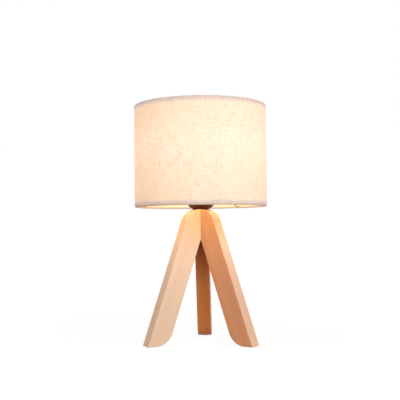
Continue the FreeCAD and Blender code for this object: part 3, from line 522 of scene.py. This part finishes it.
def shade_cloth():
    """One flat strip of linen wrapped round the frame: lapped at its ends, rolled over both hoops."""
    vertices = []
    flat = []
    for column in range(COLUMNS + 1):
        along = CLOTH_WIDTH * column / COLUMNS
        angle = LAP_AZIMUTH + 2 * math.pi * along / CLOTH_ROUND
        lifted = max(0.0, min(1.0, (along - CLOTH_ROUND + LAP_RISE) / LAP_RISE))
        for (radius, height), up in zip(CLOTH_PATH, CLOTH_RUN):
            reach = radius + math.copysign(CLOTH * lifted, radius - HOOP_RADIUS)
            vertices.append((reach * math.cos(angle), reach * math.sin(angle), height))
            flat.append((along, up))
    rows = len(CLOTH_PATH)
    faces = []
    for column in range(COLUMNS):
        for row in range(rows - 1):
            corner = column * rows + row
            faces.append((corner, corner + rows, corner + rows + 1, corner + 1))
    mesh = bpy.data.meshes.new("shade_cloth")
    mesh.from_pydata(vertices, [], faces)
    layer = mesh.uv_layers.new(name="cloth")
    for loop in mesh.loops:
        layer.data[loop.index].uv = flat[loop.vertex_index]
    for face in mesh.polygons:
        face.use_smooth = True
    cloth = bpy.data.objects.new("shade_cloth", mesh)
    bpy.context.collection.objects.link(cloth)
    wall = cloth.modifiers.new("thickness", "SOLIDIFY")
    wall.thickness = CLOTH
    wall.offset = 0
    bpy.context.view_layer.objects.active = cloth
    cloth.select_set(True)
    bpy.ops.object.modifier_apply(modifier=wall.name)
    cloth.select_set(False)
    cloth.data.materials.append(linen("slubby_linen"))
    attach(cloth, "shade")
    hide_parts("shade_fabric")


shade_cloth()

# ---- floor, light and camera ----

LAMP_MIDDLE = Vector((0, 0, 150 * MM))  # which the studio lights face


def plain_share(material):
    """1 for the rays that see the floor or backdrop as plain white: the camera's own, those that a shiny
    surface mirrors and those that pass through glass."""
    rays = add(material, "LightPath").outputs
    turned_away = [rays["Is Glossy Ray"], rays["Is Transmission Ray"]]
    indirect = add(material, "Math", turned_away, operation="MAXIMUM")
    return add(material, "Math", [rays["Is Camera Ray"], indirect], operation="MAXIMUM")


def floor():
    """A pale floor: plain white to the camera, with the lamp's soft shadow, and warm in the light that it
    gives back to the lamp."""
    under_feet = 0.2 * MM
    near_feet = (150 * MM, 700 * MM)  # how far out its white is a little dimmer
    bpy.ops.mesh.primitive_plane_add(size=30, location=(0, 0, -under_feet))
    ground = bpy.context.object
    ground.name = "floor"
    paint = blank("pale_floor")
    warm = add(paint, "BsdfDiffuse", [linear("#cfae8c")])
    faint = add(paint, "BsdfDiffuse", [linear("#595959")])
    away = add(paint, "VectorMath", [place_of(paint)], operation="LENGTH")
    strength = add(paint, "MapRange", [away, *near_feet, 0.92, 1.0])
    seen = add(paint, "AddShader", [faint, add(paint, "Emission", [linear("#ffffff"), strength])])
    add(paint, "OutputMaterial", [add(paint, "MixShader", [plain_share(paint), warm, seen])])
    ground.data.materials.append(paint)
    ground.select_set(False)


def sky():
    """A white backdrop to the camera, and a soft grey light to everything else."""
    world = bpy.data.worlds.new("studio")
    bpy.context.scene.world = world
    world.use_nodes = True
    world.node_tree.nodes.clear()
    ambient = add(world, "Background", [linear("#fffdfb"), 0.25])
    white = add(world, "Background", [linear("#ffffff"), 1.0])
    add(world, "OutputWorld", [add(world, "MixShader", [plain_share(world), ambient, white])])


def soft_box(name, azimuth, elevation, distance, size, power, colour):
    """A square studio light that faces the lamp."""
    data = bpy.data.lights.new(name, "AREA")
    data.size = size
    data.energy = power
    data.color = linear(colour)[:3]
    light = bpy.data.objects.new(name, data)
    bpy.context.collection.objects.link(light)
    a, e = math.radians(azimuth), math.radians(elevation)
    way = Vector((math.cos(a) * math.cos(e), math.sin(a) * math.cos(e), math.sin(e)))
    light.location = LAMP_MIDDLE + way * distance
    light.rotation_euler = (-way).to_track_quat("-Z", "Y").to_euler()


def mouth_glow():
    """The lit shade's light that falls through its lower opening on the legs."""
    data = bpy.data.lights.new("mouth_glow", "AREA")
    data.shape = "DISK"
    data.size = 2 * LINER_INSIDE
    data.energy = 0.088
    data.color = linear(GLOW_CORE)[:3]
    light = bpy.data.objects.new("mouth_glow", data)
    bpy.context.collection.objects.link(light)
    light.location = (0, 0, SHADE_LOW.z + 1 * MM)
    light.visible_camera = False


def camera():
    """The photograph's camera, as measured from the lamp's own edges in it."""
    distance, height = 0.9737, 0.1431
    swing, pitch, roll = -0.00108, 0.040737, -0.010145
    round_axis = math.radians(3.402)
    focal_pixels, image_pixels, sensor = 754.9, 400, 36.0
    forward = Vector((math.sin(swing) * math.cos(pitch), math.cos(swing) * math.cos(pitch), math.sin(pitch)))
    right = Vector((math.cos(swing), -math.sin(swing), 0))
    top = right.cross(forward)
    side = math.cos(roll) * right + math.sin(roll) * top
    over = -math.sin(roll) * right + math.cos(roll) * top
    turn = Matrix.Rotation(round_axis, 3, "Z")
    axes = Matrix([turn @ side, turn @ over, turn @ -forward]).transposed()
    data = bpy.data.cameras.new("camera")
    data.sensor_width = sensor
    data.lens = focal_pixels * sensor / image_pixels
    data.clip_start = 0.01
    data.clip_end = 100
    view = bpy.data.objects.new("camera", data)
    bpy.context.collection.objects.link(view)
    view.matrix_world = axes.to_4x4()
    view.location = turn @ Vector((0, -distance, height))
    bpy.context.scene.camera = view


floor()
sky()
soft_box("key", azimuth=-58, elevation=28, distance=1.6, size=0.9, power=18.8, colour="#fffefc")
soft_box("fill", azimuth=-165, elevation=35, distance=1.8, size=1.4, power=8, colour="#fffaf4")
mouth_glow()
camera()

scene = bpy.context.scene
scene.view_settings.view_transform = "Standard"
